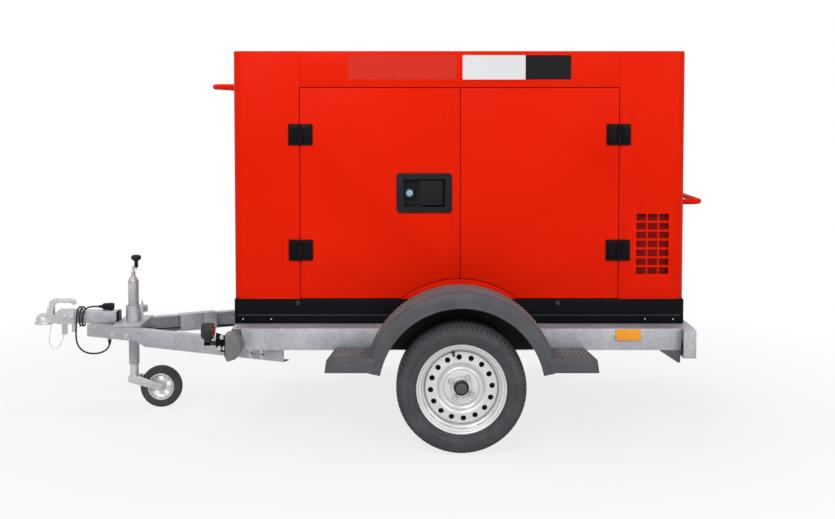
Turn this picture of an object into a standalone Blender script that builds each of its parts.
"""Towable diesel generator: a canopied generator set on a galvanised single-axle trailer.

Metres, +Z up. The drawbar points to -X, the tail is at +X and the door side is -Y. Pieces are placed from a
datum on the trailer's centre line at the ground. The empty "generator" then moves the datum so that the
model's origin lies at the middle of its length and width, on the ground.
"""
import math

import bmesh
import bpy
from mathutils import Matrix, Vector

# ---- fits -------------------------------------------------------------------------------------------------
SEAT = 0.0003            # gap between two faces that rest on each other
RUN = 0.0003             # radial clearance of a turning or sliding fit
PANEL_GAP = 0.003        # visible gap round a door
SHEET = 0.003            # canopy and frame sheet

# ---- wheels and axle --------------------------------------------------------------------------------------
AXLE_X = 0.487           # wheel centre
TYRE_R = 0.2625
TYRE_W = 0.185
TYRE_MID = 0.6825        # wheel's middle plane from the centre line
RIM_R = 0.1825           # over the rim flanges
RIM_HALF = 0.070         # half the rim's width
PIVOT_BACK = 0.140       # the swing arm's pivot is this far ahead of the wheel centre
PIVOT_Z = 0.330
BEAM_SIDE = 0.070        # square axle beam
BEAM_HALF = 0.485
STUB_R = 0.016
TORSION_R = 0.020
HUB_FACE = 0.712         # where the wheel bolts on, from the centre line

# ---- chassis ----------------------------------------------------------------------------------------------
RAIL_OUT = 0.560         # outer face of the side rails
RAIL_W = 0.050
RAIL_H = 0.090
RAIL_TOP = 0.470
RAIL_FRONT = -0.420
TAIL_X = 1.458
TAIL_DEPTH = 0.053
TAIL_HEIGHT = 0.1165
TAIL_HALF = 0.600
CROSS_W = 0.040
ARM_FRONT_X = -1.203
ARM_FRONT_Y = 0.0525
ARM_END_X = -0.250
ARM_TOP = 0.392
ARM_H = 0.075
ARM_NOSE_H = 0.055       # the arm is shallower at its nose
ARM_NOSE_L = 0.280
ARM_W = 0.045
TUBE_SIDE = 0.055
TUBE_FRONT = -1.330
TUBE_REAR = -1.070

# ---- coupling ---------------------------------------------------------------------------------------------
NOSE_X = -1.458
BALL_X = -1.415
BALL_R = 0.0255          # socket for a 50 mm tow ball
SOCKET_OUT = 0.036
SOCKET_Z = 0.392
SLEEVE_REAR = -1.268
SLEEVE_WALL = 0.0035
LEVER_X = -1.382
LEVER_Z = 0.452
LEVER_PIN_R = 0.005
LUG_HALF = 0.012
LUG_DROP = 0.052
COIL_R = 0.0445          # the lead's turns round the draw tube
PLUG_FRONT = -1.160

# ---- jockey wheel -----------------------------------------------------------------------------------------
JOCKEY_X = -1.000
JOCKEY_TUBE_R = 0.024
JOCKEY_INNER_R = 0.020
JOCKEY_TUBE_BOTTOM = 0.200
JOCKEY_TUBE_TOP = 0.600
JOCKEY_WHEEL_R = 0.095
JOCKEY_WHEEL_HALF = 0.0235
JOCKEY_TRAIL = 0.125
STEM_Z = 0.150           # top face of the fork's shoulder
COLLAR_H = 0.070
COLLAR_R = 0.035
CRANK_Z = 0.652
CRANK_ARM = 0.075
CRANK_TURN = math.radians(-66)
SPINDLE_R = 0.006
STEM_R = 0.0155
KNOB_PIN_R = 0.004
CLAMP_SCREW_R = 0.005
JOCKEY_PIN_R = 0.006
WHEEL_FACETS = 24        # rim and tyre share these, so that they nest

# ---- mudguards --------------------------------------------------------------------------------------------
GUARD_R = 0.3925
GUARD_LIP_R = 0.330
GUARD_OUT = 0.790
GUARD_WALL = 0.004
GUARD_SHOULDER = 0.030
STEP_TOP = 0.3926
STEP_H = 0.056
STEP_L = 0.165

# ---- canopy -----------------------------------------------------------------------------------------------
CANOPY_FRONT = -0.465
CANOPY_REAR = 1.439
CANOPY_HALF = 0.450
CANOPY_TOP = 1.621
CORNER_R = 0.045
BASE_H = 0.1054
BASE_WALL = 0.004
BASE_INSET = 0.0015
SEAM_FRONT = -0.184      # between the front end shell and the front door
SEAM_MID = 0.4916
SEAM_REAR = 1.159
DOOR_TOP = 1.468
DOOR_DEPTH = 0.025
NOTCH_CLEAR = 0.0085     # door's wheel arch outside the mudguard
POST_W = 0.040
HINGE_H = 0.089
HINGE_LEAF = 0.048
HINGE_PLATE = 0.004
HINGE_R = 0.0075
HINGE_PIN_R = 0.0035
HINGE_UP_Z = 1.2713
HINGE_LOW_Z = 0.7838
HANDLE_REACH = 0.118
HANDLE_HALF = 0.300
HANDLE_R = 0.012
FRONT_HANDLE_Z = 1.474
REAR_HANDLE_Z = 0.975

# ---- door latch -------------------------------------------------------------------------------------------
LATCH_X = (0.250, 0.431)
LATCH_Z = (0.962, 1.087)
LATCH_PIN = (0.4125, -CANOPY_HALF + 0.008)
LATCH_PIN_R = 0.003
LOCK_AT = (0.2775, 1.0245)
LOCK_STEM_R = 0.0075

# ---- machinery --------------------------------------------------------------------------------------------
PANEL_X = (0.720, 1.080)
PANEL_Z = (1.020, 1.380)
ESTOP_R = 0.011
SHAFT_Z = 0.830
FAN_Z = 0.930
FAN_SHAFT_R = 0.012

# ---- worked out -------------------------------------------------------------------------------------------
AXLE_Z = TYRE_R
NOSE_HALF = BALL_X - NOSE_X
PIVOT_X = AXLE_X - PIVOT_BACK
RAIL_BOTTOM = RAIL_TOP - RAIL_H
RAIL_IN = RAIL_OUT - RAIL_W
TAIL_FRONT = TAIL_X - TAIL_DEPTH
CROSS_BOTTOM = ARM_TOP + SEAT
TUBE_BOTTOM = ARM_TOP + SEAT
TUBE_TOP = TUBE_BOTTOM + TUBE_SIDE
BASE_BOTTOM = RAIL_TOP + SEAT
BASE_TOP = BASE_BOTTOM + BASE_H
CANOPY_BOTTOM = BASE_TOP + SEAT
NOTCH_R = GUARD_R + NOTCH_CLEAR
HINGE_PLATE_Y = -CANOPY_HALF - HINGE_PLATE - SEAT
HINGE_Y = -(CANOPY_HALF + HINGE_R + 0.0005)
JOCKEY_AXLE_X = JOCKEY_X + JOCKEY_TRAIL
PLATE_Z = ARM_TOP + SEAT
PLATE_T = 0.010
COLLAR_TOP = PLATE_Z + PLATE_T + COLLAR_H
END_OF_HANDLE = CANOPY_REAR + HANDLE_REACH
SIDES = {"left": -1, "right": 1}

FINISHES = {
    "galvanised": ((0.62, 0.63, 0.65), 0.42, 0.85),
    "zinc_plate": ((0.72, 0.72, 0.73), 0.30, 0.90),
    "red_paint": ((0.74, 0.035, 0.004), 0.32, 0.0),
    "black_paint": ((0.012, 0.012, 0.014), 0.45, 0.0),
    "black_plastic": ((0.022, 0.022, 0.026), 0.50, 0.0),
    "grey_plastic": ((0.14, 0.14, 0.15), 0.55, 0.0),
    "rubber": ((0.045, 0.046, 0.050), 0.85, 0.0),
    "wheel_silver": ((0.60, 0.60, 0.62), 0.35, 0.60),
    "cast_alloy": ((0.30, 0.31, 0.32), 0.55, 0.50),
    "engine_paint": ((0.05, 0.09, 0.13), 0.45, 0.0),
    "lens_plastic": ((0.45, 0.02, 0.02), 0.20, 0.0),
    "stop_red": ((0.70, 0.02, 0.02), 0.35, 0.0),
    "lead_sheath": ((0.020, 0.020, 0.022), 0.60, 0.0),
    "wire_rope": ((0.55, 0.55, 0.57), 0.40, 0.80),
}


# ---- tools ------------------------------------------------------------------------------------------------
def clear_scene():
    """Remove what the file holds, so that the model starts from nothing."""
    for old in list(bpy.data.objects):
        bpy.data.objects.remove(old, do_unlink=True)


def make_materials():
    """One Principled material for each finish."""
    for name, (colour, roughness, metallic) in FINISHES.items():
        material = bpy.data.materials.new(name)
        material.use_nodes = True
        shader = material.node_tree.nodes["Principled BSDF"]
        shader.inputs["Base Color"].default_value = (*colour, 1.0)
        shader.inputs["Roughness"].default_value = roughness
        shader.inputs["Metallic"].default_value = metallic
        material.diffuse_color = (*colour, 1.0)


def box(x, y, z):
    """A block between pairs of limits."""
    bm = bmesh.new()
    bmesh.ops.create_cube(bm, size=1.0)
    size = Vector((x[1] - x[0], y[1] - y[0], z[1] - z[0]))
    middle = Vector((x[0] + x[1], y[0] + y[1], z[0] + z[1])) / 2
    bmesh.ops.scale(bm, vec=size, verts=bm.verts)
    bmesh.ops.translate(bm, vec=middle, verts=bm.verts)
    return bm


def prism(outline, span, plane="xz"):
    """An outline of two coordinates, extruded between the two values of span along the third axis."""
    bm = bmesh.new()
    place = {
        "xz": lambda a, b, c: (a, c, b),
        "xy": lambda a, b, c: (a, b, c),
        "yz": lambda a, b, c: (c, a, b),
    }[plane]
    near = [bm.verts.new(place(a, b, span[0])) for a, b in outline]
    far = [bm.verts.new(place(a, b, span[1])) for a, b in outline]
    bm.faces.new(near)
    bm.faces.new(list(reversed(far)))
    count = len(outline)
    for i in range(count):
        j = (i + 1) % count
        bm.faces.new((near[i], near[j], far[j], far[i]))
    bmesh.ops.recalc_face_normals(bm, faces=bm.faces)
    return bm


def turned(profile, centre, axis="Z", segments=20, ring=False):
    """A profile of (radius, height) turned about an axis. A ring's profile closes on itself, any other
    starts and ends on the axis."""
    along, across, up = {
        "X": ((1, 0, 0), (0, 1, 0), (0, 0, 1)),
        "Y": ((0, 1, 0), (0, 0, 1), (1, 0, 0)),
        "Z": ((0, 0, 1), (1, 0, 0), (0, 1, 0)),
    }[axis]
    along, across, up, centre = Vector(along), Vector(across), Vector(up), Vector(centre)
    bm = bmesh.new()
    rows = []
    for radius, height in profile:
        if radius < 1e-9:
            rows.append([bm.verts.new(centre + along * height)])
            continue
        row = []
        for i in range(segments):
            turn = math.tau * i / segments
            spoke = across * math.cos(turn) + up * math.sin(turn)
            row.append(bm.verts.new(centre + along * height + spoke * radius))
        rows.append(row)
    pairs = list(zip(rows, rows[1:]))
    if ring:
        pairs.append((rows[-1], rows[0]))
    for low, high in pairs:
        for i in range(segments):
            j = (i + 1) % segments
            corners = [low[i % len(low)], low[j % len(low)], high[j % len(high)], high[i % len(high)]]
            bm.faces.new(list(dict.fromkeys(corners)))
    bmesh.ops.recalc_face_normals(bm, faces=bm.faces)
    return bm


def rod(start, end, radius, segments=12):
    """A round bar between two points. Along an axis its corners line up with those of a turned shape."""
    start, end = Vector(start), Vector(end)
    along = (end - start).normalized()
    first = {0: Vector((0, 1, 0)), 1: Vector((0, 0, 1)), 2: Vector((1, 0, 0))}[
        max(range(3), key=lambda i: abs(along[i]))]
    across = (first - along * first.dot(along)).normalized()
    up = along.cross(across)
    bm = bmesh.new()
    rings = []
    for end_point in (start, end):
        rings.append([bm.verts.new(end_point + (across * math.cos(math.tau * i / segments)
                                                + up * math.sin(math.tau * i / segments)) * radius)
                      for i in range(segments)])
    for i in range(segments):
        j = (i + 1) % segments
        bm.faces.new((rings[0][i], rings[0][j], rings[1][j], rings[1][i]))
    bm.faces.new(rings[0])
    bm.faces.new(list(reversed(rings[1])))
    bmesh.ops.recalc_face_normals(bm, faces=bm.faces)
    return bm


def bore(radius, segments):
    """Radius of a faceted hole whose flats clear a round pin by the running gap."""
    return (radius + RUN) / math.cos(math.pi / segments)


def bent_tube(path, radius, sides=10):
    """A round bar that follows a path, with flat ends."""
    path = [Vector(p) for p in path]
    bm = bmesh.new()
    rows = []
    normal = Vector((0, 0, 1))
    for i, point in enumerate(path):
        ahead = path[min(i + 1, len(path) - 1)] - path[max(i - 1, 0)]
        ahead.normalize()
        side = ahead.cross(normal).normalized()
        normal = side.cross(ahead).normalized()
        row = []
        for k in range(sides):
            turn = math.tau * k / sides
            row.append(bm.verts.new(point + (side * math.cos(turn) + normal * math.sin(turn)) * radius))
        rows.append(row)
    for low, high in zip(rows, rows[1:]):
        for k in range(sides):
            j = (k + 1) % sides
            bm.faces.new((low[k], low[j], high[j], high[k]))
    bm.faces.new(rows[0])
    bm.faces.new(list(reversed(rows[-1])))
    bmesh.ops.recalc_face_normals(bm, faces=bm.faces)
    return bm


def together(*meshes):
    """Several shapes in one mesh."""
    whole = bmesh.new()
    for bm in meshes:
        keep = {v: whole.verts.new(v.co) for v in bm.verts}
        for face in bm.faces:
            whole.faces.new([keep[v] for v in face.verts])
        bm.free()
    return whole


def mirrored(bm):
    """The same shape on the other side of the centre line."""
    bmesh.ops.scale(bm, vec=(1, -1, 1), verts=bm.verts)
    bmesh.ops.recalc_face_normals(bm, faces=bm.faces)
    return bm


def link(obj, parent, origin):
    """Put an object under its parent, with its origin at a point of the datum."""
    bpy.context.scene.collection.objects.link(obj)
    obj.parent = parent
    obj["datum"] = tuple(origin)
    obj.location = Vector(origin) - Vector(parent["datum"])


def piece(name, bm, finish, origin=(0, 0, 0), parent=None, smooth=False):
    """A finished sub-part as an object of its own."""
    bmesh.ops.recalc_face_normals(bm, faces=bm.faces)
    bmesh.ops.translate(bm, vec=-Vector(origin), verts=bm.verts)
    mesh = bpy.data.meshes.new(name)
    bm.to_mesh(mesh)
    bm.free()
    mesh.materials.append(bpy.data.materials[finish])
    if smooth:
        mesh.shade_smooth()
        mesh.set_sharp_from_angle(angle=math.radians(35))
    obj = bpy.data.objects.new(name, mesh)
    link(obj, parent or bpy.data.objects["generator"], origin)
    return obj


def combine(target, bm, operation):
    """Weld a shape to a piece (UNION) or cut it out (DIFFERENCE), with a hidden tool object."""
    name = f"{target.name}_{operation.lower()}_{len(target.modifiers)}"
    mesh = bpy.data.meshes.new(name)
    bm.to_mesh(mesh)
    bm.free()
    tool = bpy.data.objects.new(name, mesh)
    link(tool, bpy.data.objects["generator"], (0, 0, 0))
    tool.hide_render = True
    tool.display_type = "WIRE"
    step = target.modifiers.new(operation.lower(), "BOOLEAN")
    step.operation = operation
    step.solver = "EXACT"
    step.object = tool
    return target


def weld(target, *meshes):
    for bm in meshes:
        combine(target, bm, "UNION")
    return target


def cut(target, *meshes):
    for bm in meshes:
        combine(target, bm, "DIFFERENCE")
    return target


def arc(centre, radius, start, end, steps):
    """Points on a circle, from one angle to another in degrees."""
    turns = [math.radians(start + (end - start) * i / steps) for i in range(steps + 1)]
    return [(centre[0] + radius * math.cos(t), centre[1] + radius * math.sin(t)) for t in turns]


def rounded_rectangle(a, b, radius, steps=4):
    """A rectangle between two pairs of limits, with round corners."""
    corners = [((a[1] - radius, b[1] - radius), 0), ((a[0] + radius, b[1] - radius), 90),
               ((a[0] + radius, b[0] + radius), 180), ((a[1] - radius, b[0] + radius), 270)]
    return [p for centre, turn in corners for p in arc(centre, radius, turn, turn + 90, steps)]


def smooth_path(knots, spacing):
    """Points a fixed distance apart on a smooth curve through the knots."""
    knots = [Vector(k) for k in knots]
    fine = []
    for i in range(len(knots) - 1):
        a = knots[max(i - 1, 0)]
        b, c = knots[i], knots[i + 1]
        d = knots[min(i + 2, len(knots) - 1)]
        for step in range(12):
            t = step / 12
            fine.append(0.5 * ((2 * b) + (c - a) * t + (2 * a - 5 * b + 4 * c - d) * t * t
                               + (3 * b - a - 3 * c + d) * t ** 3))
    fine.append(knots[-1])
    length = sum((q - p).length for p, q in zip(fine, fine[1:]))
    count = max(8, round(length / spacing))
    path, walked, target = [fine[0]], 0.0, length / count
    for p, q in zip(fine, fine[1:]):
        run = (q - p).length
        while walked + run >= target and len(path) < count:
            path.append(p.lerp(q, (target - walked) / run))
            target += length / count
        walked += run
    path.append(fine[-1])
    return path


def cord(name, knots, radius, finish, spacing):
    """A plain round cord along a route."""
    curve = bpy.data.curves.new(name, "CURVE")
    curve.dimensions = "3D"
    curve.bevel_depth = radius
    curve.bevel_resolution = 2
    curve.use_fill_caps = True
    path = smooth_path(knots, spacing)
    spline = curve.splines.new("POLY")
    spline.points.add(len(path) - 1)
    for point, place in zip(spline.points, path):
        point.co = (*place, 1.0)
    curve.materials.append(bpy.data.materials[finish])
    obj = bpy.data.objects.new(name, curve)
    link(obj, bpy.data.objects["generator"], (0, 0, 0))
    return obj


def channel(y_web, y_open, z_low, z_high):
    """Section of a pressed channel: the web at y_web, the flanges' edges at y_open."""
    inner = y_web + math.copysign(SHEET, y_open - y_web)
    return [(y_web, z_low), (y_open, z_low), (y_open, z_low + SHEET), (inner, z_low + SHEET),
            (inner, z_high - SHEET), (y_open, z_high - SHEET), (y_open, z_high), (y_web, z_high)]


# ---- chassis ----------------------------------------------------------------------------------------------
def make_frame():
    """Side rails, cross members and the tail beam, pressed channels bolted into a ladder."""
    for side, s in SIDES.items():
        section = channel(s * RAIL_OUT, s * RAIL_IN, RAIL_BOTTOM, RAIL_TOP)
        piece(f"side_rail_{side}", prism(section, (RAIL_FRONT, TAIL_FRONT - SEAT), "yz"), "galvanised")
    front = (RAIL_FRONT - SEAT - CROSS_W, RAIL_FRONT - SEAT)
    section = channel(front[0], front[1], CROSS_BOTTOM, RAIL_TOP)
    piece("front_cross_member", prism(section, (-RAIL_OUT, RAIL_OUT), "xz"), "galvanised")
    section = channel(PIVOT_X - CROSS_W / 2, PIVOT_X + CROSS_W / 2, CROSS_BOTTOM, RAIL_TOP)
    half = RAIL_IN - SEAT
    piece("middle_cross_member", prism(section, (-half, half), "xz"), "galvanised")
    section = channel(TAIL_X, TAIL_FRONT, RAIL_TOP - TAIL_HEIGHT, RAIL_TOP)
    piece("rear_light_beam", prism(section, (-TAIL_HALF, TAIL_HALF), "xz"), "galvanised")


def arm_side_view(inset, overrun, length):
    """Side outline of a drawbar arm, shallower at its nose."""
    low_nose = ARM_TOP - ARM_NOSE_H + inset
    low = ARM_TOP - ARM_H + inset
    high = ARM_TOP - inset
    slope = 2.5 * (ARM_H - ARM_NOSE_H)
    return [(-overrun, low_nose), (ARM_NOSE_L, low_nose), (ARM_NOSE_L + slope, low),
            (length + overrun, low), (length + overrun, high), (-overrun, high)]


def make_drawbar():
    """Two channel arms in a V, with the draw tube on their noses."""
    run = ARM_END_X - ARM_FRONT_X
    rise = RAIL_IN - 0.005 - ARM_FRONT_Y
    length = math.hypot(run, rise)
    for side, s in SIDES.items():
        ahead = Vector((run / length, s * rise / length, 0))
        inward = Vector((rise / length, -s * run / length, 0))
        place = Matrix((
            (ahead.x, inward.x, 0, ARM_FRONT_X),
            (ahead.y, inward.y, 0, s * ARM_FRONT_Y),
            (0, 0, 1, 0),
            (0, 0, 0, 1),
        ))
        body = prism(arm_side_view(0, 0, length), (0, ARM_W))
        hollow = prism(arm_side_view(SHEET, 0.01, length), (SHEET, ARM_W + 0.01))
        for bm in (body, hollow):
            bmesh.ops.transform(bm, matrix=place, verts=bm.verts)
            bmesh.ops.recalc_face_normals(bm, faces=bm.faces)
        arm = piece(f"drawbar_arm_{side}", body, "galvanised")
        cut(arm, hollow)
        if side == "left":
            weld(arm, rod((-1.092, -0.080, 0.3268), (-1.092, -0.080, 0.339), 0.009))
    half = TUBE_SIDE / 2
    tube = piece("draw_tube", box((TUBE_FRONT, TUBE_REAR), (-half, half), (TUBE_BOTTOM, TUBE_TOP)),
                 "galvanised")
    bore = half - SHEET
    hollow_z = (TUBE_BOTTOM + SHEET, TUBE_TOP - SHEET)
    cut(tube, box((TUBE_FRONT - 0.01, TUBE_REAR + 0.01), (-bore, bore), hollow_z))


def make_coupling():
    """Ball coupling bolted over the front of the draw tube, and its locking lever."""
    half = TUBE_SIDE / 2 + SEAT + SLEEVE_WALL
    sleeve_front = TUBE_FRONT - 0.015
    low, high = TUBE_BOTTOM - SEAT - SLEEVE_WALL, TUBE_TOP + SEAT + SLEEVE_WALL
    head = piece("coupling_head", box((sleeve_front, SLEEVE_REAR), (-half, half), (low, high)), "zinc_plate")
    neck = box((BALL_X, sleeve_front + 0.005), (-0.030, 0.030), (SOCKET_Z, SOCKET_Z + 0.040))
    dome = turned([(0, -0.006), (NOSE_HALF, -0.006), (NOSE_HALF, 0.000), (SOCKET_OUT, 0.004),
                   (SOCKET_OUT, 0.020), (SOCKET_OUT * 0.8, 0.034), (SOCKET_OUT * 0.4, 0.041), (0, 0.043)],
                  (BALL_X, 0, SOCKET_Z), segments=20)
    ears = [box((LEVER_X - 0.014, LEVER_X + 0.014), (s * 0.016 - 0.0025, s * 0.016 + 0.0025),
                (SOCKET_Z + 0.036, LEVER_Z + 0.011)) for s in (-1, 1)]
    front_lug = box((TUBE_FRONT, TUBE_FRONT + 0.020), (-LUG_HALF, LUG_HALF), (low - LUG_DROP, low + 0.002))
    rear_lug = box((SLEEVE_REAR - 0.016, SLEEVE_REAR - 0.004), (-LUG_HALF, LUG_HALF),
                   (low - 0.040, low + 0.002))
    weld(head, neck, dome, *ears, front_lug, rear_lug)
    socket = turned([(0, -0.02), (BALL_R, -0.02), (BALL_R, 0.004), (BALL_R * 0.87, 0.014),
                     (BALL_R * 0.5, 0.023), (0, 0.0255)], (BALL_X, 0, SOCKET_Z), segments=16)
    pocket = TUBE_SIDE / 2 + SEAT
    sleeve = box((TUBE_FRONT - SEAT, SLEEVE_REAR + 0.01), (-pocket, pocket),
                 (TUBE_BOTTOM - SEAT, TUBE_TOP + SEAT))
    pin_hole = rod((LEVER_X, -0.03, LEVER_Z), (LEVER_X, 0.03, LEVER_Z), bore(LEVER_PIN_R, 12))
    cut(head, sleeve, socket, pin_hole)

    x, z = LEVER_X, LEVER_Z
    outline = [(x - 0.010, z - 0.010), (x + 0.010, z - 0.010), (x + 0.016, z + 0.018), (x + 0.032, z + 0.032),
               (x + 0.092, z + 0.032), (x + 0.108, z + 0.022), (x + 0.118, z + 0.026), (x + 0.110, z + 0.044),
               (x + 0.092, z + 0.051), (x + 0.017, z + 0.051), (x - 0.004, z + 0.038)]
    lever = piece("coupling_lever", prism(outline, (-0.0125, 0.0125)), "zinc_plate", origin=(x, 0, z))
    weld(lever, rod((x, -0.020, z), (x, 0.020, z), LEVER_PIN_R))


def make_jockey():
    """Jockey wheel: clamp, screw jack, swivelling fork and wheel, one inside or under the other."""
    x = JOCKEY_X
    screw_x = x + 0.050
    screw_z = COLLAR_TOP - 0.015
    plate = box((TUBE_REAR + 0.005, x + 0.060), (-0.130, 0.130), (PLATE_Z, PLATE_Z + PLATE_T))
    bracket = piece("jockey_bracket", plate, "galvanised")
    collar = rod((x, 0, PLATE_Z + 0.001), (x, 0, COLLAR_TOP), COLLAR_R, 24)
    ear = box((x + 0.028, screw_x + 0.012), (-0.014, 0.014), (screw_z - 0.015, COLLAR_TOP))
    weld(bracket, collar, ear)
    through = rod((x, 0, PLATE_Z - 0.01), (x, 0, COLLAR_TOP + 0.01), bore(JOCKEY_TUBE_R, 24), 24)
    slit = box((x, screw_x + 0.02), (-0.0015, 0.0015), (PLATE_Z + PLATE_T + 0.002, COLLAR_TOP + 0.01))
    hole = rod((screw_x, -0.03, screw_z), (screw_x, 0.03, screw_z), bore(CLAMP_SCREW_R, 12))
    cut(bracket, through, slit, hole)

    handle_y = -(COLLAR_R + 0.009)
    screw = rod((screw_x, handle_y, screw_z), (screw_x, 0.022, screw_z), CLAMP_SCREW_R)
    handle = piece("clamp_handle", screw, "zinc_plate", origin=(screw_x, 0, screw_z), smooth=True)
    weld(handle, rod((screw_x, handle_y, screw_z - 0.042), (screw_x, handle_y, screw_z + 0.042), 0.005))

    wall = bore(JOCKEY_INNER_R, 24)
    outer = piece("jockey_outer_tube", turned([
        (wall, JOCKEY_TUBE_BOTTOM), (JOCKEY_TUBE_R, JOCKEY_TUBE_BOTTOM), (JOCKEY_TUBE_R, JOCKEY_TUBE_TOP),
        (0.012, JOCKEY_TUBE_TOP + 0.022), (bore(SPINDLE_R, 24), JOCKEY_TUBE_TOP + 0.022),
        (bore(SPINDLE_R, 24), JOCKEY_TUBE_TOP), (wall, JOCKEY_TUBE_TOP - 0.006)],
        (x, 0, 0), segments=24, ring=True), "galvanised", origin=(x, 0, JOCKEY_TUBE_TOP), smooth=True)

    spindle_foot = JOCKEY_TUBE_TOP - 0.24
    collar_z = JOCKEY_TUBE_TOP + 0.022 + SEAT
    crank = piece("jockey_crank", turned([
        (0, spindle_foot), (SPINDLE_R, spindle_foot), (SPINDLE_R, collar_z), (0.011, collar_z),
        (0.011, collar_z + 0.005), (SPINDLE_R, collar_z + 0.005), (SPINDLE_R, CRANK_Z), (0, CRANK_Z)],
        (x, 0, 0), segments=12), "zinc_plate", origin=(x, 0, CRANK_Z), parent=outer, smooth=True)
    tip = Vector((x, 0, CRANK_Z)) + CRANK_ARM * Vector((math.cos(CRANK_TURN), math.sin(CRANK_TURN), 0))
    weld(crank, rod((x, 0, CRANK_Z), tip, 0.0055))
    weld(crank, rod(tip - Vector((0, 0, 0.005)), tip + Vector((0, 0, 0.045)), KNOB_PIN_R))
    foot = tip.z + 0.006
    piece("crank_knob", turned([
        (0, tip.z + 0.045 + SEAT), (bore(KNOB_PIN_R, 16), tip.z + 0.045 + SEAT),
        (bore(KNOB_PIN_R, 16), foot), (0.009, foot),
        (0.008, tip.z + 0.036), (0.021, tip.z + 0.043), (0.023, tip.z + 0.053), (0.016, tip.z + 0.061),
        (0, tip.z + 0.063)], (tip.x, tip.y, 0), segments=16),
        "black_plastic", origin=tip, parent=crank, smooth=True)

    inner_top = STEM_Z + 0.330
    inner = piece("jockey_inner_tube", turned([
        (bore(STEM_R, 20), STEM_Z), (JOCKEY_INNER_R, STEM_Z), (JOCKEY_INNER_R, inner_top),
        (bore(SPINDLE_R, 20), inner_top), (bore(SPINDLE_R, 20), inner_top - 0.012),
        (bore(STEM_R, 20), inner_top - 0.012)],
        (x, 0, 0), segments=20, ring=True), "zinc_plate", origin=(x, 0, STEM_Z), parent=outer, smooth=True)

    axle_x, axle_z = JOCKEY_AXLE_X, JOCKEY_WHEEL_R
    cheek_in = JOCKEY_WHEEL_HALF + 0.004
    cheek_out = cheek_in + 0.005
    shoulder = turned([(0, STEM_Z - 0.012), (0.022, STEM_Z - 0.012), (0.022, STEM_Z - SEAT), (STEM_R, STEM_Z - SEAT),
                       (STEM_R, STEM_Z + 0.050), (0, STEM_Z + 0.050)], (x, 0, 0), segments=16)
    fork = piece("jockey_fork", shoulder, "zinc_plate", origin=(x, 0, STEM_Z), parent=inner)
    bridge = box((x - 0.022, x + 0.024), (-cheek_out, cheek_out), (STEM_Z - 0.030, STEM_Z - 0.004))
    side_view = [(x - 0.022, STEM_Z - 0.004), (x - 0.022, STEM_Z - 0.030), (axle_x - 0.012, axle_z - 0.014),
                 (axle_x + 0.010, axle_z - 0.014), (axle_x + 0.016, axle_z), (axle_x + 0.010, axle_z + 0.014),
                 (x + 0.030, STEM_Z - 0.004)]
    cheeks = [prism(side_view, tuple(sorted((s * cheek_in, s * cheek_out)))) for s in (-1, 1)]
    pin = rod((axle_x, -cheek_out - 0.004, axle_z), (axle_x, cheek_out + 0.004, axle_z), JOCKEY_PIN_R)
    weld(fork, bridge, *cheeks, pin)

    hole = bore(JOCKEY_PIN_R, 24)
    rim_r = 0.0615
    half = JOCKEY_WHEEL_HALF
    rim = piece("jockey_rim", turned([
        (hole, -half), (0.015, -half), (0.017, -0.004), (rim_r - 0.006, -0.004), (rim_r - 0.004, -half + 0.005),
        (rim_r, -half + 0.005), (rim_r, half - 0.005), (rim_r - 0.004, half - 0.005), (rim_r - 0.006, 0.004),
        (0.017, 0.004), (0.015, half), (hole, half)], (axle_x, 0, axle_z), "Y", 24, ring=True),
        "wheel_silver", origin=(axle_x, 0, axle_z), parent=fork, smooth=True)
    inside = rim_r + SEAT
    piece("jockey_tyre", turned([
        (inside, -half + 0.004), (0.082, -half), (0.091, -half + 0.006), (JOCKEY_WHEEL_R, -0.009),
        (JOCKEY_WHEEL_R, 0.009), (0.091, half - 0.006), (0.082, half), (inside, half - 0.004)],
        (axle_x, 0, axle_z), "Y", 24, ring=True),
        "rubber", origin=(axle_x, 0, axle_z), parent=rim, smooth=True)


# ---- axle and wheels --------------------------------------------------------------------------------------
def make_axle():
    """Rubber torsion axle: a square beam that holds the swing arms' stubs."""
    half = BEAM_SIDE / 2
    beam = piece("axle_beam", box((PIVOT_X - half, PIVOT_X + half), (-BEAM_HALF, BEAM_HALF),
                                  (PIVOT_Z - half, PIVOT_Z + half)), "galvanised")
    top = RAIL_BOTTOM - SEAT
    for s in SIDES.values():
        inner, middle, outer = s * 0.400, s * 0.475, s * (RAIL_OUT - 0.004)
        weld(beam, box((PIVOT_X - 0.045, PIVOT_X + 0.045), (min(inner, middle), max(inner, middle)),
                       (PIVOT_Z, top - 0.002)))
        flange = (s * 0.430, outer)
        weld(beam, box((PIVOT_X - 0.060, PIVOT_X + 0.060), (min(flange), max(flange)), (top - 0.008, top)))
    cut(beam, rod((PIVOT_X, -BEAM_HALF - 0.01, PIVOT_Z), (PIVOT_X, BEAM_HALF + 0.01, PIVOT_Z),
                  bore(TORSION_R, 16), 16))


def tyre_section():
    """Half of the tyre's horseshoe section: tread and sidewall outside, then back along the inside."""
    half = TYRE_W / 2
    outside = [(TYRE_R, 0.060), (TYRE_R - 0.010, half - 0.010), (TYRE_R - 0.028, half),
               (TYRE_R - 0.052, half - 0.001), (RIM_R + 0.006, half - 0.012), (RIM_R + 0.0005, RIM_HALF)]
    inside = [(RIM_R + 0.0005, RIM_HALF - 0.010), (TYRE_R - 0.030, half - 0.011), (TYRE_R - 0.012, 0.055)]
    return outside, inside


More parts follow.
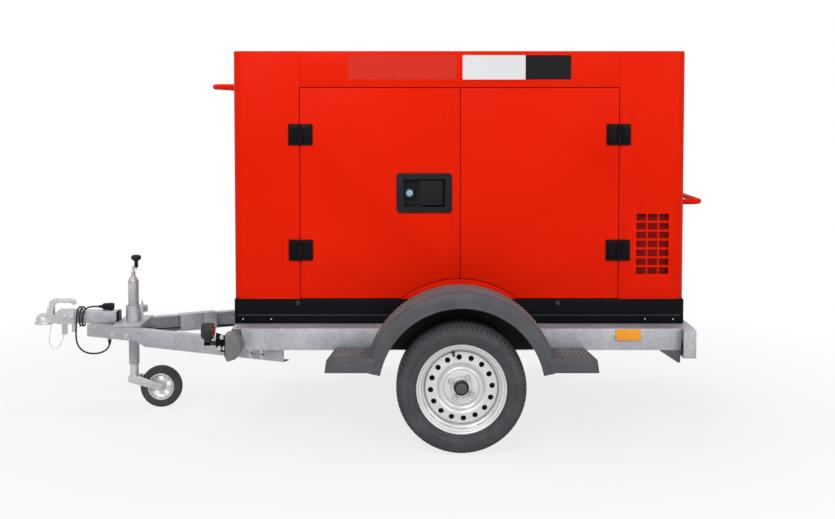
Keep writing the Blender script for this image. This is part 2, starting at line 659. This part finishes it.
def make_wheels():
    """On each side a swing arm, a hub with its grease cap, a pressed rim and a tyre."""
    outside, inside = tyre_section()
    tyre_profile = (outside + inside + [(r, -w) for r, w in reversed(inside)]
                    + [(r, -w) for r, w in reversed(outside)])
    disc_face = HUB_FACE + SEAT
    for side, s in SIDES.items():
        arm_in, arm_out = BEAM_HALF + SEAT, BEAM_HALF + 0.060
        pivot = (PIVOT_X, 0, PIVOT_Z)
        arm = piece(f"swing_arm_{side}", turned([
            (0, s * (BEAM_HALF - 0.085)), (TORSION_R, s * (BEAM_HALF - 0.085)), (TORSION_R, s * arm_in),
            (0.034, s * arm_in), (0.034, s * arm_out), (0, s * arm_out)], pivot, "Y", 16),
            "cast_alloy", origin=(PIVOT_X, s * BEAM_HALF, PIVOT_Z))
        lean = math.degrees(math.atan2(PIVOT_Z - AXLE_Z, PIVOT_BACK))
        blade = (arc((PIVOT_X, PIVOT_Z), 0.031, 90 - lean, 270 - lean, 6)
                 + arc((AXLE_X, AXLE_Z), 0.026, 270 - lean, 450 - lean, 6))
        blade_y = sorted((s * (arm_in + 0.012), s * (arm_out - 0.002)))
        stub = rod((AXLE_X, s * (arm_out - 0.02), AXLE_Z), (AXLE_X, s * (HUB_FACE - 0.002), AXLE_Z),
                   STUB_R, 16)
        weld(arm, prism(blade, blade_y), stub)

        hole = bore(STUB_R, WHEEL_FACETS)
        hub = piece(f"hub_{side}", turned([(r, s * w) for r, w in (
            (0, HUB_FACE), (hole, HUB_FACE), (hole, arm_out + 0.006), (0.040, arm_out + 0.006),
            (0.040, HUB_FACE - 0.012), (0.066, HUB_FACE - 0.012), (0.066, HUB_FACE), (0.031, HUB_FACE),
            (0.0295, HUB_FACE + 0.026), (0.022, HUB_FACE + 0.029), (0, HUB_FACE + 0.029))],
            (AXLE_X, 0, AXLE_Z), "Y", WHEEL_FACETS), "cast_alloy", origin=(AXLE_X, s * HUB_FACE, AXLE_Z),
            parent=arm, smooth=True)

        lip, back = TYRE_MID + RIM_HALF, TYRE_MID - RIM_HALF
        rim_hole = 0.031 + RUN
        rim = piece(f"rim_{side}", turned([(r, s * w) for r, w in (
            (RIM_R, lip), (0.178, lip + 0.004), (0.168, lip - 0.004), (0.152, lip - 0.025),
            (0.143, disc_face + 0.003), (0.104, disc_face + 0.009), (0.086, disc_face - 0.008),
            (0.066, disc_face + 0.005), (rim_hole, disc_face + 0.005), (rim_hole, disc_face),
            (0.0665, disc_face), (0.085, disc_face - 0.013), (0.106, disc_face + 0.004),
            (0.139, disc_face - 0.002), (0.145, disc_face - 0.010), (0.145, back + 0.030), (0.160, back + 0.006),
            (0.178, back - 0.004), (RIM_R, back), (0.1785, back + 0.004), (0.164, back + 0.012),
            (0.149, back + 0.034), (0.149, lip - 0.046), (0.154, lip - 0.028), (0.1785, lip - 0.004))],
            (AXLE_X, 0, AXLE_Z), "Y", WHEEL_FACETS, ring=True),
            "wheel_silver", origin=(AXLE_X, s * HUB_FACE, AXLE_Z), parent=hub, smooth=True)
        piece(f"tyre_{side}", turned([(r, s * (TYRE_MID + w)) for r, w in tyre_profile],
              (AXLE_X, 0, AXLE_Z), "Y", WHEEL_FACETS, ring=True), "rubber",
              origin=(AXLE_X, s * TYRE_MID, AXLE_Z), parent=rim, smooth=True)


def guard_section(s):
    """The arch's section as radius and place across the trailer: an outer lip, a round shoulder, a flat top."""
    out, edge = s * GUARD_OUT, s * (RAIL_OUT + SEAT)
    step = -s
    return [(GUARD_LIP_R, out), (GUARD_R - GUARD_SHOULDER, out), (GUARD_R - 0.009, out + step * 0.009),
            (GUARD_R, out + step * GUARD_SHOULDER), (GUARD_R, edge), (GUARD_R - GUARD_WALL, edge),
            (GUARD_R - GUARD_WALL, out + step * GUARD_SHOULDER), (GUARD_R - GUARD_SHOULDER, out + step * GUARD_WALL),
            (GUARD_LIP_R, out + step * GUARD_WALL)]


def make_mudguards():
    """A moulded arch over each wheel, with a step before and behind it."""
    low = STEP_TOP - STEP_H
    foot = math.degrees(math.asin((low - AXLE_Z) / GUARD_R))
    stations = 20
    for side, s in SIDES.items():
        section = guard_section(s)
        arch = bmesh.new()
        rows = []
        for i in range(stations + 1):
            turn = math.radians(foot + (180 - 2 * foot) * i / stations)
            rows.append([arch.verts.new((AXLE_X + r * math.cos(turn), y, AXLE_Z + r * math.sin(turn)))
                         for r, y in section])
        for near, far in zip(rows, rows[1:]):
            for i in range(len(section)):
                j = (i + 1) % len(section)
                arch.faces.new((near[i], near[j], far[j], far[i]))
        arch.faces.new(rows[0])
        arch.faces.new(list(reversed(rows[-1])))
        bmesh.ops.recalc_face_normals(arch, faces=arch.faces)

        y = sorted((s * (GUARD_OUT - 0.0002), s * (RAIL_OUT + SEAT)))
        y_in = (y[0] + GUARD_WALL, y[1] - GUARD_WALL)
        reach = GUARD_R + STEP_L
        blocks, hollows = [], []
        for end in (-1, 1):
            x = sorted((AXLE_X + end * reach, AXLE_X + end * 0.345))
            x_in = sorted((AXLE_X + end * (reach - GUARD_WALL), AXLE_X + end * 0.300))
            blocks.append(box(x, y, (low, STEP_TOP)))
            hollows.append(box(x_in, y_in, (low - 0.02, STEP_TOP - GUARD_WALL)))
        guard = piece(f"mudguard_{side}", together(*blocks), "grey_plastic")
        cut(guard, together(*hollows))
        cut(guard, rod((AXLE_X, -1.0, AXLE_Z), (AXLE_X, 1.0, AXLE_Z), GUARD_R - 0.003, 48))
        weld(guard, arch)


def make_marker_lamps():
    """Front marker lamps on short stalks ahead of the front cross member."""
    front = RAIL_FRONT - SEAT - CROSS_W - SEAT
    x = front - 0.105
    z = RAIL_TOP - 0.017
    for side, s in SIDES.items():
        y = s * 0.520
        body = rod((x - 0.024, y, z), (x + 0.024, y, z), 0.034, 20)
        lamp = piece(f"marker_lamp_{side}", body, "rubber", smooth=True)
        stalk = box((x - 0.014, x + 0.014), (y - 0.014, y + 0.014), (ARM_TOP, z))
        foot = box((x - 0.014, front), (y - 0.014, y + 0.014), (ARM_TOP + 0.002, ARM_TOP + 0.017))
        pad = box((front - 0.005, front), (y - 0.022, y + 0.022), (CROSS_BOTTOM, CROSS_BOTTOM + 0.045))
        weld(lamp, stalk, foot, pad)


def make_cords():
    """The trailer's plug lead, coiled round the draw tube, and the breakaway cable."""
    turn_z = (TUBE_BOTTOM + TUBE_TOP) / 2
    rest_z = TUBE_TOP + 0.018 + SEAT
    knots = [(-1.092, -0.080, 0.3265), (-1.093, -0.080, 0.305), (-1.103, -0.079, 0.285), (-1.125, -0.077, 0.270),
             (-1.155, -0.073, 0.262), (-1.190, -0.068, 0.262), (-1.220, -0.062, 0.272), (-1.243, -0.056, 0.295),
             (-1.253, -0.050, 0.325), (-1.2545, -0.046, 0.360), (-1.253, -0.0445, 0.395)]
    turns, pitch, steps = 2, 0.013, 12
    for i in range(turns * steps + 1):
        turn = math.tau * i / steps
        knots.append((-1.252 + pitch * i / steps, -COIL_R * math.cos(turn), turn_z + COIL_R * math.sin(turn)))
    end = knots[-1][0]
    knots += [(end + 0.004, -0.038, 0.446), (end + 0.016, -0.020, 0.462), (end + 0.032, -0.006, rest_z),
              (PLUG_FRONT - 0.022, 0.0, rest_z), (PLUG_FRONT - 0.010, 0.0, rest_z), (PLUG_FRONT - SEAT, 0.0, rest_z)]
    cord("trailer_lead", knots, 0.004, "lead_sheath", 0.018)
    plug = turned([(0, PLUG_FRONT), (0.007, PLUG_FRONT), (0.009, PLUG_FRONT + 0.014), (0.015, PLUG_FRONT + 0.022),
                   (0.015, PLUG_FRONT + 0.040), (0.018, PLUG_FRONT + 0.042), (0.018, PLUG_FRONT + 0.068),
                   (0, PLUG_FRONT + 0.068)], (0, 0, rest_z), "X", 16)
    piece("trailer_plug", plug, "black_plastic", origin=(PLUG_FRONT + 0.034, 0, rest_z), smooth=True)
    cord("safety_cable", [(-1.374, -0.020, 0.3915), (-1.378, -0.022, 0.365), (-1.384, -0.024, 0.330),
                          (-1.381, -0.025, 0.295), (-1.366, -0.024, 0.274), (-1.348, -0.022, 0.276),
                          (-1.334, -0.019, 0.296), (-1.324, -0.016, 0.318), (-1.320, -LUG_HALF - 0.0018, 0.338)],
         0.0015, "wire_rope", 0.012)


# ---- body -------------------------------------------------------------------------------------------------
def make_base():
    """The black base the canopy stands on, with the fuel tank inside it."""
    x = (CANOPY_FRONT + BASE_INSET, CANOPY_REAR - BASE_INSET)
    half = CANOPY_HALF - BASE_INSET
    base = piece("skid_base", box(x, (-half, half), (BASE_BOTTOM, BASE_TOP)), "black_paint")
    cut(base, box((x[0] + BASE_WALL, x[1] - BASE_WALL), (-half + BASE_WALL, half - BASE_WALL),
                  (BASE_BOTTOM - 0.02, BASE_TOP - BASE_WALL)))
    outline = rounded_rectangle((-0.350, 0.250), (-0.330, 0.330), 0.040)
    top = BASE_TOP - BASE_WALL - SEAT
    piece("fuel_tank", prism(outline, (top - 0.090, top), "xy"), "black_plastic",
          origin=(-0.05, 0, top - 0.045))


def shell_outline(x_open, x_end, half, radius):
    """Plan of an end shell: open at x_open, round corners at x_end."""
    s = math.copysign(1.0, x_end - x_open)
    near = arc((x_end - s * radius, -half + radius), radius, -90, -90 + s * 90, 6)
    far = arc((x_end - s * radius, half - radius), radius, 90 - s * 90, 90, 6)
    return [(x_open, -half)] + near + far + [(x_open, half)]


def slots(x, y, z_values, height, plane):
    """A row of round-ended slots, cut through a wall. In plane "yz" the wall faces along X."""
    cutters = []
    for z in z_values:
        a = y if plane == "yz" else x
        outline = rounded_rectangle(a, (z - height / 2, z + height / 2), height * 0.4, 1)
        cutters.append(prism(outline, x if plane == "yz" else y, plane))
    return together(*cutters)


def make_canopy():
    """End shells, the roof panel between them, and the fixed side panel away from the doors."""
    top_in = CANOPY_TOP - SHEET
    ends = {
        "canopy_front_end": (SEAM_FRONT - PANEL_GAP / 2, CANOPY_FRONT),
        "canopy_rear_end": (SEAM_REAR + PANEL_GAP / 2, CANOPY_REAR),
    }
    for name, (x_open, x_end) in ends.items():
        s = math.copysign(1.0, x_end - x_open)
        body = prism(shell_outline(x_open, x_end, CANOPY_HALF, CORNER_R), (CANOPY_BOTTOM, CANOPY_TOP), "xy")
        shell = piece(name, body, "red_paint", origin=(x_end, 0, CANOPY_BOTTOM))
        hollow = shell_outline(x_open - s * 0.02, x_end - s * SHEET, CANOPY_HALF - SHEET, CORNER_R - SHEET)
        cut(shell, prism(hollow, (CANOPY_BOTTOM - 0.02, top_in), "xy"))
        wall = sorted((x_end - s * 0.02, x_end + s * 0.02))
        cut(shell, slots(wall, (-0.250, 0.250), [0.700 + 0.045 * i for i in range(5)], 0.018, "yz"))
    rear = bpy.data.objects["canopy_rear_end"]
    vents = []
    for column in range(3):
        for row in range(7):
            x = 1.235 + 0.0475 * column
            z = 0.682 + 0.0377 * row
            vents.append(box((x, x + 0.041), (-CANOPY_HALF - 0.01, -CANOPY_HALF + 0.01), (z, z + 0.029)))
    cut(rear, together(*vents))

    x = (SEAM_FRONT - PANEL_GAP / 2 + SEAT, SEAM_REAR + PANEL_GAP / 2 - SEAT)
    skirt = DOOR_TOP + PANEL_GAP / 2
    roof = piece("roof_panel", box(x, (-CANOPY_HALF, CANOPY_HALF), (skirt, CANOPY_TOP)), "red_paint",
                 origin=((x[0] + x[1]) / 2, 0, CANOPY_TOP))
    inner = CANOPY_HALF - SHEET
    cut(roof, box((x[0] - 0.02, x[1] + 0.02), (-inner, inner), (skirt - 0.02, top_in)))

    side = piece("side_panel_right", box(x, (inner, CANOPY_HALF), (CANOPY_BOTTOM, skirt - SEAT)), "red_paint",
                 origin=((x[0] + x[1]) / 2, CANOPY_HALF, CANOPY_BOTTOM))
    cut(side, box((PANEL_X[0] + 0.012, PANEL_X[1] - 0.012), (0.40, 0.50),
                  (PANEL_Z[0] + 0.012, PANEL_Z[1] - 0.012)))
    cut(side, slots((-0.060, 0.300), (0.40, 0.50), [0.680 + 0.045 * i for i in range(7)], 0.018, "xz"))


def bottom_edge(x_first, x_last, z_low, radius):
    """Points along a panel's lower edge, up and over the mudguard's arch where it reaches that high."""
    half = math.sqrt(radius ** 2 - (z_low - AXLE_Z) ** 2)
    start, end = max(x_first, AXLE_X - half), min(x_last, AXLE_X + half)
    points = [] if start == x_first else [(x_first, z_low)]
    steps = 10
    for i in range(steps + 1):
        x = start + (end - start) * i / steps
        points.append((x, AXLE_Z + math.sqrt(max(radius ** 2 - (x - AXLE_X) ** 2, (z_low - AXLE_Z) ** 2))))
    if end != x_last:
        points.append((x_last, z_low))
    return points


def make_centre_post():
    """The post between the doors, on a fixed infill plate above the mudguard."""
    radius = NOTCH_R - PANEL_GAP
    half = math.sqrt(radius ** 2 - (CANOPY_BOTTOM - AXLE_Z) ** 2)
    turn = math.degrees(math.acos(half / radius))
    outline = arc((AXLE_X, AXLE_Z), radius, turn, 180 - turn, 16)
    infill = prism(outline, (-CANOPY_HALF, -CANOPY_HALF + SHEET))
    post = piece("centre_post", infill, "red_paint", origin=(SEAM_MID, -CANOPY_HALF, CANOPY_BOTTOM))
    y_front = -CANOPY_HALF + DOOR_DEPTH + 0.0065
    bracket = box((SEAM_MID - 0.018, SEAM_MID + 0.018), (-CANOPY_HALF + SHEET - 0.0005, y_front + 0.004),
                  (CANOPY_BOTTOM + 0.001, CANOPY_BOTTOM + 0.062))
    upright = box((SEAM_MID - POST_W / 2, SEAM_MID + POST_W / 2), (y_front, y_front + POST_W),
                  (CANOPY_BOTTOM, CANOPY_TOP - SHEET - SEAT))
    weld(post, bracket, upright)


# ---- doors ------------------------------------------------------------------------------------------------
def leaf_outline(x_pin, s, z, narrow):
    """A hinge leaf beside the pin at x_pin, on the side s. Narrow leaves carry the middle knuckle only."""
    half, third = HINGE_H / 2, HINGE_H / 6
    reach = [HINGE_R + 0.001, HINGE_LEAF]
    tongue = third - 0.001 if narrow else half
    points = [(0, -tongue), (reach[0], -tongue), (reach[0], -half), (reach[1], -half),
              (reach[1], half), (reach[0], half), (reach[0], tongue), (0, tongue)]
    if not narrow:
        gap = third + 0.001
        points = [(0, -half), (reach[1], -half), (reach[1], half), (0, half), (0, gap), (reach[0], gap),
                  (reach[0], -gap), (0, -gap)]
    return [(x_pin + s * a, z + b) for a, b in points]


def make_door(name, seam, s):
    """A door pan with its hinge leaves. s is the way the door runs from its hinge line."""
    hinge_side = seam + s * PANEL_GAP / 2
    free_side = SEAM_MID - s * PANEL_GAP / 2
    x = sorted((hinge_side, free_side))
    z_low, z_high = CANOPY_BOTTOM + PANEL_GAP, DOOR_TOP - PANEL_GAP / 2
    outline = bottom_edge(x[0], x[1], z_low, NOTCH_R) + [(x[1], z_high), (x[0], z_high)]
    door = piece(name, prism(outline, (-CANOPY_HALF, -CANOPY_HALF + DOOR_DEPTH)), "red_paint",
                 origin=(seam, HINGE_Y, (z_low + z_high) / 2))
    inner = (bottom_edge(x[0] + SHEET, x[1] - SHEET, z_low + SHEET, NOTCH_R + SHEET)
             + [(x[1] - SHEET, z_high - SHEET), (x[0] + SHEET, z_high - SHEET)])
    cut(door, prism(inner, (-CANOPY_HALF + SHEET, -CANOPY_HALF + DOOR_DEPTH + 0.01)))
    plate = (HINGE_PLATE_Y, -CANOPY_HALF + 0.0005)
    for z in (HINGE_UP_Z, HINGE_LOW_Z):
        third = HINGE_H / 6 - 0.001
        pin = (seam, HINGE_Y)
        weld(door, rod((*pin, z - third), (*pin, z + third), HINGE_R, 16))
        weld(door, prism(leaf_outline(seam, s, z, True), plate))
        cut(door, rod((*pin, z - HINGE_H), (*pin, z + HINGE_H), bore(HINGE_PIN_R, 16), 16))
    return door


def make_hinges():
    """The fixed halves of the four hinges, each with its pin, on the end shells."""
    for end, seam, s in (("front", SEAM_FRONT, -1), ("rear", SEAM_REAR, 1)):
        for level, z in (("upper", HINGE_UP_Z), ("lower", HINGE_LOW_Z)):
            half, third = HINGE_H / 2, HINGE_H / 6
            leaf = prism(leaf_outline(seam, s, z, False), (HINGE_PLATE_Y - SEAT, -CANOPY_HALF - SEAT))
            hinge = piece(f"hinge_{end}_{level}", leaf, "black_paint", origin=(seam, HINGE_Y, z))
            weld(hinge, turned([(0, z - half), (HINGE_R, z - half), (HINGE_R, z - third),
                                (HINGE_PIN_R, z - third), (HINGE_PIN_R, z + third), (HINGE_R, z + third),
                                (HINGE_R, z + half), (0, z + half)],
                               (seam, HINGE_Y, 0), segments=16))


def make_latch(door):
    """The door's recessed latch: tray, paddle and lock."""
    face = -CANOPY_HALF - SEAT
    cut(door, box((LATCH_X[0] - SEAT, LATCH_X[1] + SEAT), (-CANOPY_HALF - 0.02, -CANOPY_HALF + 0.02),
                  (LATCH_Z[0] - SEAT, LATCH_Z[1] + SEAT)))
    flange = prism(rounded_rectangle((LATCH_X[0] - 0.027, LATCH_X[1] + 0.025),
                                     (LATCH_Z[0] - 0.020, LATCH_Z[1] + 0.022),
                                     0.014), (face - 0.006, face))
    middle = ((LATCH_X[0] + LATCH_X[1]) / 2, -CANOPY_HALF, (LATCH_Z[0] + LATCH_Z[1]) / 2)
    tray = piece("latch_tray", flange, "black_plastic", origin=middle, parent=door)
    floor = -CANOPY_HALF + 0.0265
    weld(tray, box(LATCH_X, (face - 0.004, floor + 0.003), LATCH_Z))
    wall = 0.0045
    cut(tray, box((LATCH_X[0] + wall, LATCH_X[1] - wall), (-CANOPY_HALF - 0.02, floor),
                  (LATCH_Z[0] + wall, LATCH_Z[1] - wall)))
    cut(tray, rod((*LATCH_PIN, LATCH_Z[0] + 0.0015), (*LATCH_PIN, LATCH_Z[1] - 0.0015),
                  bore(LATCH_PIN_R, 12)))
    cut(tray, rod((LOCK_AT[0], floor - 0.01, LOCK_AT[1]), (LOCK_AT[0], floor + 0.01, LOCK_AT[1]),
                  bore(LOCK_STEM_R, 20), 20))

    y = (face - 0.0045, face + 0.0025)
    blade = prism(rounded_rectangle((0.321, LATCH_PIN[0] + 0.004),
                                    (LATCH_Z[0] + 0.012, LATCH_Z[1] - 0.010), 0.006), y)
    paddle = piece("latch_paddle", blade, "black_plastic", origin=(*LATCH_PIN, middle[2]), parent=door)
    weld(paddle, box((LATCH_PIN[0] - 0.005, LATCH_PIN[0] + 0.005), (y[1] - 0.001, LATCH_PIN[1]),
                     (LATCH_Z[0] + 0.020, LATCH_Z[1] - 0.020)))
    weld(paddle, rod((*LATCH_PIN, LATCH_Z[0] + 0.0020), (*LATCH_PIN, LATCH_Z[1] - 0.0020), LATCH_PIN_R))

    head, stem = 0.0145, LOCK_STEM_R
    profile = [(0, -0.0225), (head, -0.0225), (head, -SEAT), (stem, -SEAT), (stem, 0.006), (0, 0.006)]
    piece("lock_cylinder", turned(profile, (LOCK_AT[0], floor, LOCK_AT[1]), "Y", 20), "zinc_plate",
          origin=(LOCK_AT[0], floor, LOCK_AT[1]), parent=door, smooth=True)


def make_handles():
    """Round grab handles on both ends, each with two round feet."""
    for name, wall, s, z in (("front_handle", CANOPY_FRONT, -1, FRONT_HANDLE_Z),
                             ("rear_handle", CANOPY_REAR, 1, REAR_HANDLE_Z)):
        face = wall + s * SEAT
        out = wall + s * (HANDLE_REACH - HANDLE_R)
        half = HANDLE_HALF - HANDLE_R
        bend = 0.050
        near = arc((out - s * bend, -half + bend), bend, 270, 270 + s * 90, 4)
        far = arc((out - s * bend, half - bend), bend, 90 - s * 90, 90, 4)
        plan = [(face + s * 0.002, -half)] + near + far + [(face + s * 0.002, half)]
        bar = bent_tube([(x, y, z) for x, y in plan], HANDLE_R, 10)
        handle = piece(name, bar, "red_paint", origin=(face, 0, z), smooth=True)
        for y in (-half, half):
            weld(handle, rod((face, y, z), (face + s * 0.004, y, z), 0.028, 14))


# ---- machinery --------------------------------------------------------------------------------------------
def make_controls():
    """The control panel's tray behind the side panel, and its emergency stop."""
    face = CANOPY_HALF - SHEET - SEAT
    middle = ((PANEL_X[0] + PANEL_X[1]) / 2, face, (PANEL_Z[0] + PANEL_Z[1]) / 2)
    tray = piece("control_panel", box(PANEL_X, (face - 0.042, face), PANEL_Z), "black_plastic", origin=middle)
    wall = 0.012
    floor = face - 0.036
    cut(tray, box((PANEL_X[0] + wall, PANEL_X[1] - wall), (floor, face + 0.02),
                  (PANEL_Z[0] + wall, PANEL_Z[1] - wall)))
    x, z = PANEL_X[0] + 0.080, PANEL_Z[1] - 0.080
    cut(tray, rod((x, floor - 0.02, z), (x, floor + 0.02, z), bore(ESTOP_R, 20), 20))
    profile = [(0, -0.010), (ESTOP_R, -0.010), (ESTOP_R, 0.0056), (0.020, 0.0056), (0.020, 0.016),
               (0.016, 0.021), (0, 0.022)]
    piece("estop_button", turned(profile, (x, floor, z), "Y", 20), "stop_red", origin=(x, floor, z), smooth=True)


def make_machinery():
    """Engine, alternator, fan, radiator and battery, standing on the base."""
    z0 = CANOPY_BOTTOM
    engine = piece("engine", box((-0.200, 0.330), (-0.150, 0.150), (0.690, 1.050)), "engine_paint",
                   origin=(0.065, 0, 0.870))
    weld(engine, box((-0.170, 0.300), (-0.120, 0.120), (0.600, 0.700)))
    weld(engine, box((-0.185, 0.315), (-0.110, 0.110), (1.040, 1.170)))
    for x in (-0.120, 0.250):
        weld(engine, box((x - 0.025, x + 0.025), (-0.240, 0.240), (z0, 0.640)))
    weld(engine, rod((0.320, 0, SHAFT_Z), (0.370, 0, SHAFT_Z), 0.200, 28))
    weld(engine, rod((-0.235, 0, FAN_Z), (-0.195, 0, FAN_Z), 0.030, 16))
    weld(engine, rod((-0.100, 0.060, 1.330), (0.300, 0.060, 1.330), 0.070, 20))
    weld(engine, rod((0.060, 0.060, 1.150), (0.060, 0.060, 1.330), 0.022, 12))
    weld(engine, rod((0.150, -0.145, 0.760), (0.150, -0.215, 0.760), 0.042, 16))
    cut(engine, rod((-0.260, 0, FAN_Z), (-0.190, 0, FAN_Z), bore(FAN_SHAFT_R, 12), 12))

    alternator = piece("alternator", rod((0.370 + SEAT, 0, SHAFT_Z), (0.800, 0, SHAFT_Z), 0.185, 28), "engine_paint",
                       origin=(0.585, 0, SHAFT_Z))
    weld(alternator, rod((0.790, 0, SHAFT_Z), (0.850, 0, SHAFT_Z), 0.150, 28))
    for x in (0.450, 0.720):
        weld(alternator, box((x - 0.025, x + 0.025), (-0.180, 0.180), (z0, 0.690)))
    weld(alternator, box((0.470, 0.700), (-0.090, 0.090), (0.980, 1.080)))

    fan_x = -0.285
    blades = []
    for i in range(7):
        turn = math.tau * i / 7
        blade = box((-0.0025, 0.0025), (-0.032, 0.032), (0.030, 0.230))
        place = (Matrix.Translation((fan_x, 0, FAN_Z)) @ Matrix.Rotation(turn, 4, "X")
                 @ Matrix.Rotation(math.radians(25), 4, "Z"))
        bmesh.ops.transform(blade, matrix=place, verts=blade.verts)
        blades.append(blade)
    shaft = rod((fan_x, 0, FAN_Z), (-0.196, 0, FAN_Z), FAN_SHAFT_R, 12)
    fan = piece("cooling_fan", shaft, "black_plastic", origin=(fan_x, 0, FAN_Z))
    weld(fan, rod((fan_x - 0.020, 0, FAN_Z), (fan_x + 0.018, 0, FAN_Z), 0.042, 14), *blades)

    radiator = piece("radiator", box((-0.400, -0.345), (-0.280, 0.280), (z0, 1.220)), "black_paint",
                     origin=(-0.372, 0, 0.900))
    cut(radiator, box((-0.360, -0.330), (-0.240, 0.240), (0.640, 1.160)))
    near = -CANOPY_HALF + 0.090      # behind the doors and their hinges
    battery = piece("battery", box((0.950, 1.130), (near, near + 0.170), (z0, z0 + 0.200)), "black_plastic",
                    origin=(1.040, near + 0.085, z0 + 0.1))
    for y in (near + 0.035, near + 0.135):
        weld(battery, rod((0.985, y, z0 + 0.195), (0.985, y, z0 + 0.216), 0.009, 12))


def main():
    clear_scene()
    make_materials()
    generator = bpy.data.objects.new("generator", None)
    bpy.context.scene.collection.objects.link(generator)
    generator["datum"] = (0.0, 0.0, 0.0)
    generator.location.x = -(NOSE_X + END_OF_HANDLE) / 2
    make_frame()
    make_drawbar()
    make_coupling()
    make_jockey()
    make_axle()
    make_wheels()
    make_mudguards()
    make_marker_lamps()
    make_cords()
    make_base()
    make_canopy()
    make_centre_post()
    front = make_door("door_front", SEAM_FRONT, 1)
    make_door("door_rear", SEAM_REAR, -1)
    make_latch(front)
    make_hinges()
    make_handles()
    make_controls()
    make_machinery()


main()
